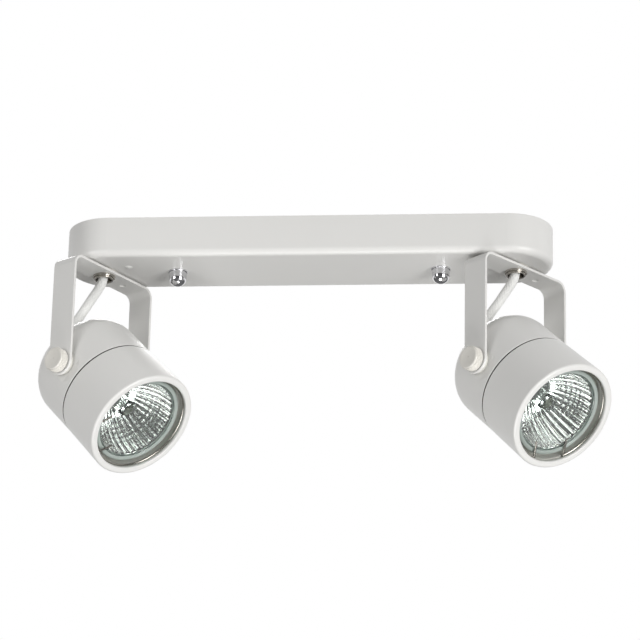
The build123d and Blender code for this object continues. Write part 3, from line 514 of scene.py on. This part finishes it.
def tube_along(line, radius, sides, across):
    """Circles of points square to a line that keeps to one plane, whose normal is across:
    the line, plus the radius times the cosine across and the sine level with the plane."""
    tangent = np.gradient(line, axis=0)
    tangent /= np.linalg.norm(tangent, axis=1)[:, None]
    level = np.cross(tangent, across)
    turn = np.arange(sides) / sides * 2 * np.pi
    return (line[:, None] + radius * (np.cos(turn)[None, :, None] * across
                                      + np.sin(turn)[None, :, None] * level[:, None]))


def sleeved_white():
    """White woven sleeve: two sets of strands cross at an angle, read from the UV map,
    where U runs round the cable and V along it in metres."""
    made = finish("white_sleeve", (0.90, 0.90, 0.88), (0.82, 0.81, 0.78), tint_size=0.006,
                  roughness=0.62, spread=0.1)
    make, link = made.node_tree.nodes.new, made.node_tree.links.new
    shader = made.node_tree.nodes["Principled BSDF"]
    split = make("ShaderNodeSeparateXYZ")
    link(make("ShaderNodeTexCoord").outputs["UV"], split.inputs[0])

    def strands(way):
        """Sine of the angle round the cable plus or minus the run along it."""
        round_part = make("ShaderNodeMath")
        round_part.operation = "MULTIPLY"
        round_part.inputs[1].default_value = 2 * np.pi * BRAID_TURNS
        link(split.outputs["X"], round_part.inputs[0])
        phase = make("ShaderNodeMath")
        phase.operation = "MULTIPLY_ADD"
        phase.inputs[1].default_value = way * 2 * np.pi / BRAID_PITCH
        link(split.outputs["Y"], phase.inputs[0])
        link(round_part.outputs[0], phase.inputs[2])
        wave = make("ShaderNodeMath")
        wave.operation = "SINE"
        link(phase.outputs[0], wave.inputs[0])
        return wave.outputs[0]

    higher = make("ShaderNodeMath")
    higher.operation = "MAXIMUM"
    link(strands(1), higher.inputs[0])
    link(strands(-1), higher.inputs[1])
    relief = make("ShaderNodeBump")
    relief.inputs["Distance"].default_value = STRAND_HEIGHT
    link(higher.outputs[0], relief.inputs["Height"])
    link(relief.outputs["Normal"], shader.inputs["Normal"])
    return made


def wrap_uv(mesh, line, quads):
    """UV map with U round the cable and V along it in metres. A quad's second and third
    corners lie one column on, so at the seam their U is a full turn and not zero."""
    run = np.concatenate(((0,), np.cumsum(np.linalg.norm(np.diff(line, axis=0), axis=1))))
    corner = np.zeros(len(mesh.loops), int)
    mesh.loops.foreach_get("vertex_index", corner)
    ring, column = corner // CABLE_SIDES, corner % CABLE_SIDES
    place = np.arange(len(corner))
    one_column_on = (place < 4 * quads) & np.isin(place % 4, (1, 2))
    full_turn = (column == 0) & one_column_on
    layer = mesh.uv_layers.new(name="round_and_along")
    layer.data.foreach_set("uv", np.stack((column / CABLE_SIDES + full_turn,
                                           run[ring]), -1).ravel())
    return float(run[-1])


def head_cable(side, material):
    """A tube along the cable's line with a UV map, bent between yoke and head."""
    _, along, _, _ = head_axes(side)
    line = cable_line(side)
    rings = tube_along(line, CABLE_DIAMETER / 2, CABLE_SIDES, along)
    faces = grid_faces(len(line), CABLE_SIDES)
    first_end = list(range(CABLE_SIDES))[::-1]
    last_end = list(range((len(line) - 1) * CABLE_SIDES, len(line) * CABLE_SIDES))
    mesh = bpy.data.meshes.new(f"cable_{side}")
    mesh.from_pydata(rings.reshape(-1, 3).tolist(), [], [*faces.tolist(), first_end, last_end])
    mesh.materials.append(material)
    mesh.polygons.foreach_set("use_smooth", np.arange(len(mesh.polygons)) < len(faces))
    length = wrap_uv(mesh, line, len(faces))
    mesh.update()
    piece = bpy.data.objects.new(f"cable_{side}", mesh)
    bpy.context.scene.collection.objects.link(piece)
    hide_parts(f"head_cable_{side}")
    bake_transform(piece)
    return piece


sleeve = sleeved_white()
for side in SIDES:
    head_cable(side, sleeve)

# ==== Floor ========================================================================
# A wide grey floor, far enough below to be out of the picture from the camera's place. It
# is grey so that it throws little light on the undersides.
FLOOR_HEIGHT = -0.95
FLOOR_HALF = 6.0
floor_points = np.array([(x, y, FLOOR_HEIGHT) for x, y in (
    (-FLOOR_HALF, -FLOOR_HALF), (FLOOR_HALF, -FLOOR_HALF),
    (FLOOR_HALF, FLOOR_HALF), (-FLOOR_HALF, FLOOR_HALF))])
grey = finish("grey_floor", (0.22, 0.22, 0.22), (0.20, 0.20, 0.20), tint_size=0.5,
              roughness=0.8, grain_size=0.02)
floor = mesh_piece("floor", floor_points, np.array([(0, 1, 2, 3)]), (grey,), smooth=False)

# ==== Lights =======================================================================
# A soft key low on the right, a small light near the left head, one straight below and
# one high behind, each a square panel turned to its aim.
LIGHTS = (  # name, place, aim, size in metres, power in watts
    ("key", (1.2, -1.25, -0.55), (0.0, 0.0, -0.06), 0.9, 23.5),
    ("near", (-0.40, -0.40, -0.13), (-0.10, 0.0, -0.08), 0.20, 0.70),
    ("low", (0.02, -0.20, -0.88), (0.0, 0.0, -0.05), 0.42, 3.2),
    ("back", (-0.30, 1.30, 1.15), (0.0, 0.0, -0.06), 0.7, 13.0),
)
for name, place, aim, size, power in LIGHTS:
    light = bpy.data.lights.new(name, "AREA")
    light.shape = "SQUARE"
    light.size = size
    light.energy = power
    panel = bpy.data.objects.new(name, light)
    panel.location = place
    panel.rotation_euler = (Vector(aim) - Vector(place)).to_track_quat("-Z", "Y").to_euler()
    bpy.context.scene.collection.objects.link(panel)

# ==== Sky and backdrop =============================================================
# A dim sky lights the object. The camera sees a white backdrop instead, and so do glass
# and metal, which also see the dark room behind the camera.
SKY_LEVEL = 0.43
SKY_FOOT_LEVEL = 0.75         # straight down, as a share of straight up
ROOM_LEVEL = 0.10
ROOM_DARK_UNTIL = -0.30       # Y of the direction looked in, -1 being behind the camera
ROOM_WHITE_FROM = 0.15


def studio_world():
    """Sky for light that falls on the object, backdrop for rays that show a background.
    The sky grows evenly lighter from straight down to straight up."""
    world = bpy.data.worlds.new("studio")
    world.use_nodes = True
    make, link = world.node_tree.nodes.new, world.node_tree.links.new
    sky = world.node_tree.nodes["Background"]
    direction = make("ShaderNodeSeparateXYZ")
    link(make("ShaderNodeTexCoord").outputs["Generated"], direction.inputs[0])
    path = make("ShaderNodeLightPath")

    def larger(first, second):
        """The larger of two values."""
        step = make("ShaderNodeMath")
        step.operation = "MAXIMUM"
        link(first, step.inputs[0])
        link(second, step.inputs[1])
        return step.outputs[0]

    room = make("ShaderNodeMapRange")
    room.inputs["From Min"].default_value = ROOM_DARK_UNTIL
    room.inputs["From Max"].default_value = ROOM_WHITE_FROM
    room.inputs["To Min"].default_value = ROOM_LEVEL
    link(direction.outputs["Y"], room.inputs["Value"])
    backdrop = make("ShaderNodeBackground")
    backdrop.inputs["Color"].default_value = (1, 1, 1, 1)
    link(larger(path.outputs["Is Camera Ray"], room.outputs["Result"]),
         backdrop.inputs["Strength"])

    half = make("ShaderNodeMapRange")
    half.inputs["From Min"].default_value = -1.0
    link(direction.outputs["Z"], half.inputs["Value"])
    shading = make("ShaderNodeValToRGB")
    for element, level in zip(shading.color_ramp.elements, (SKY_FOOT_LEVEL, 1.0)):
        element.color = (level, level, level, 1)
    link(half.outputs["Result"], shading.inputs["Fac"])
    link(shading.outputs["Color"], sky.inputs["Color"])
    sky.inputs["Strength"].default_value = SKY_LEVEL

    seen = larger(path.outputs["Is Camera Ray"], path.outputs["Is Glossy Ray"])
    seen = larger(seen, path.outputs["Is Transmission Ray"])
    choose = make("ShaderNodeMixShader")
    link(seen, choose.inputs["Fac"])
    link(sky.outputs[0], choose.inputs[1])
    link(backdrop.outputs[0], choose.inputs[2])
    link(choose.outputs[0], world.node_tree.nodes["World Output"].inputs["Surface"])
    return world


bpy.context.scene.world = studio_world()
bpy.context.scene.view_settings.view_transform = "Standard"
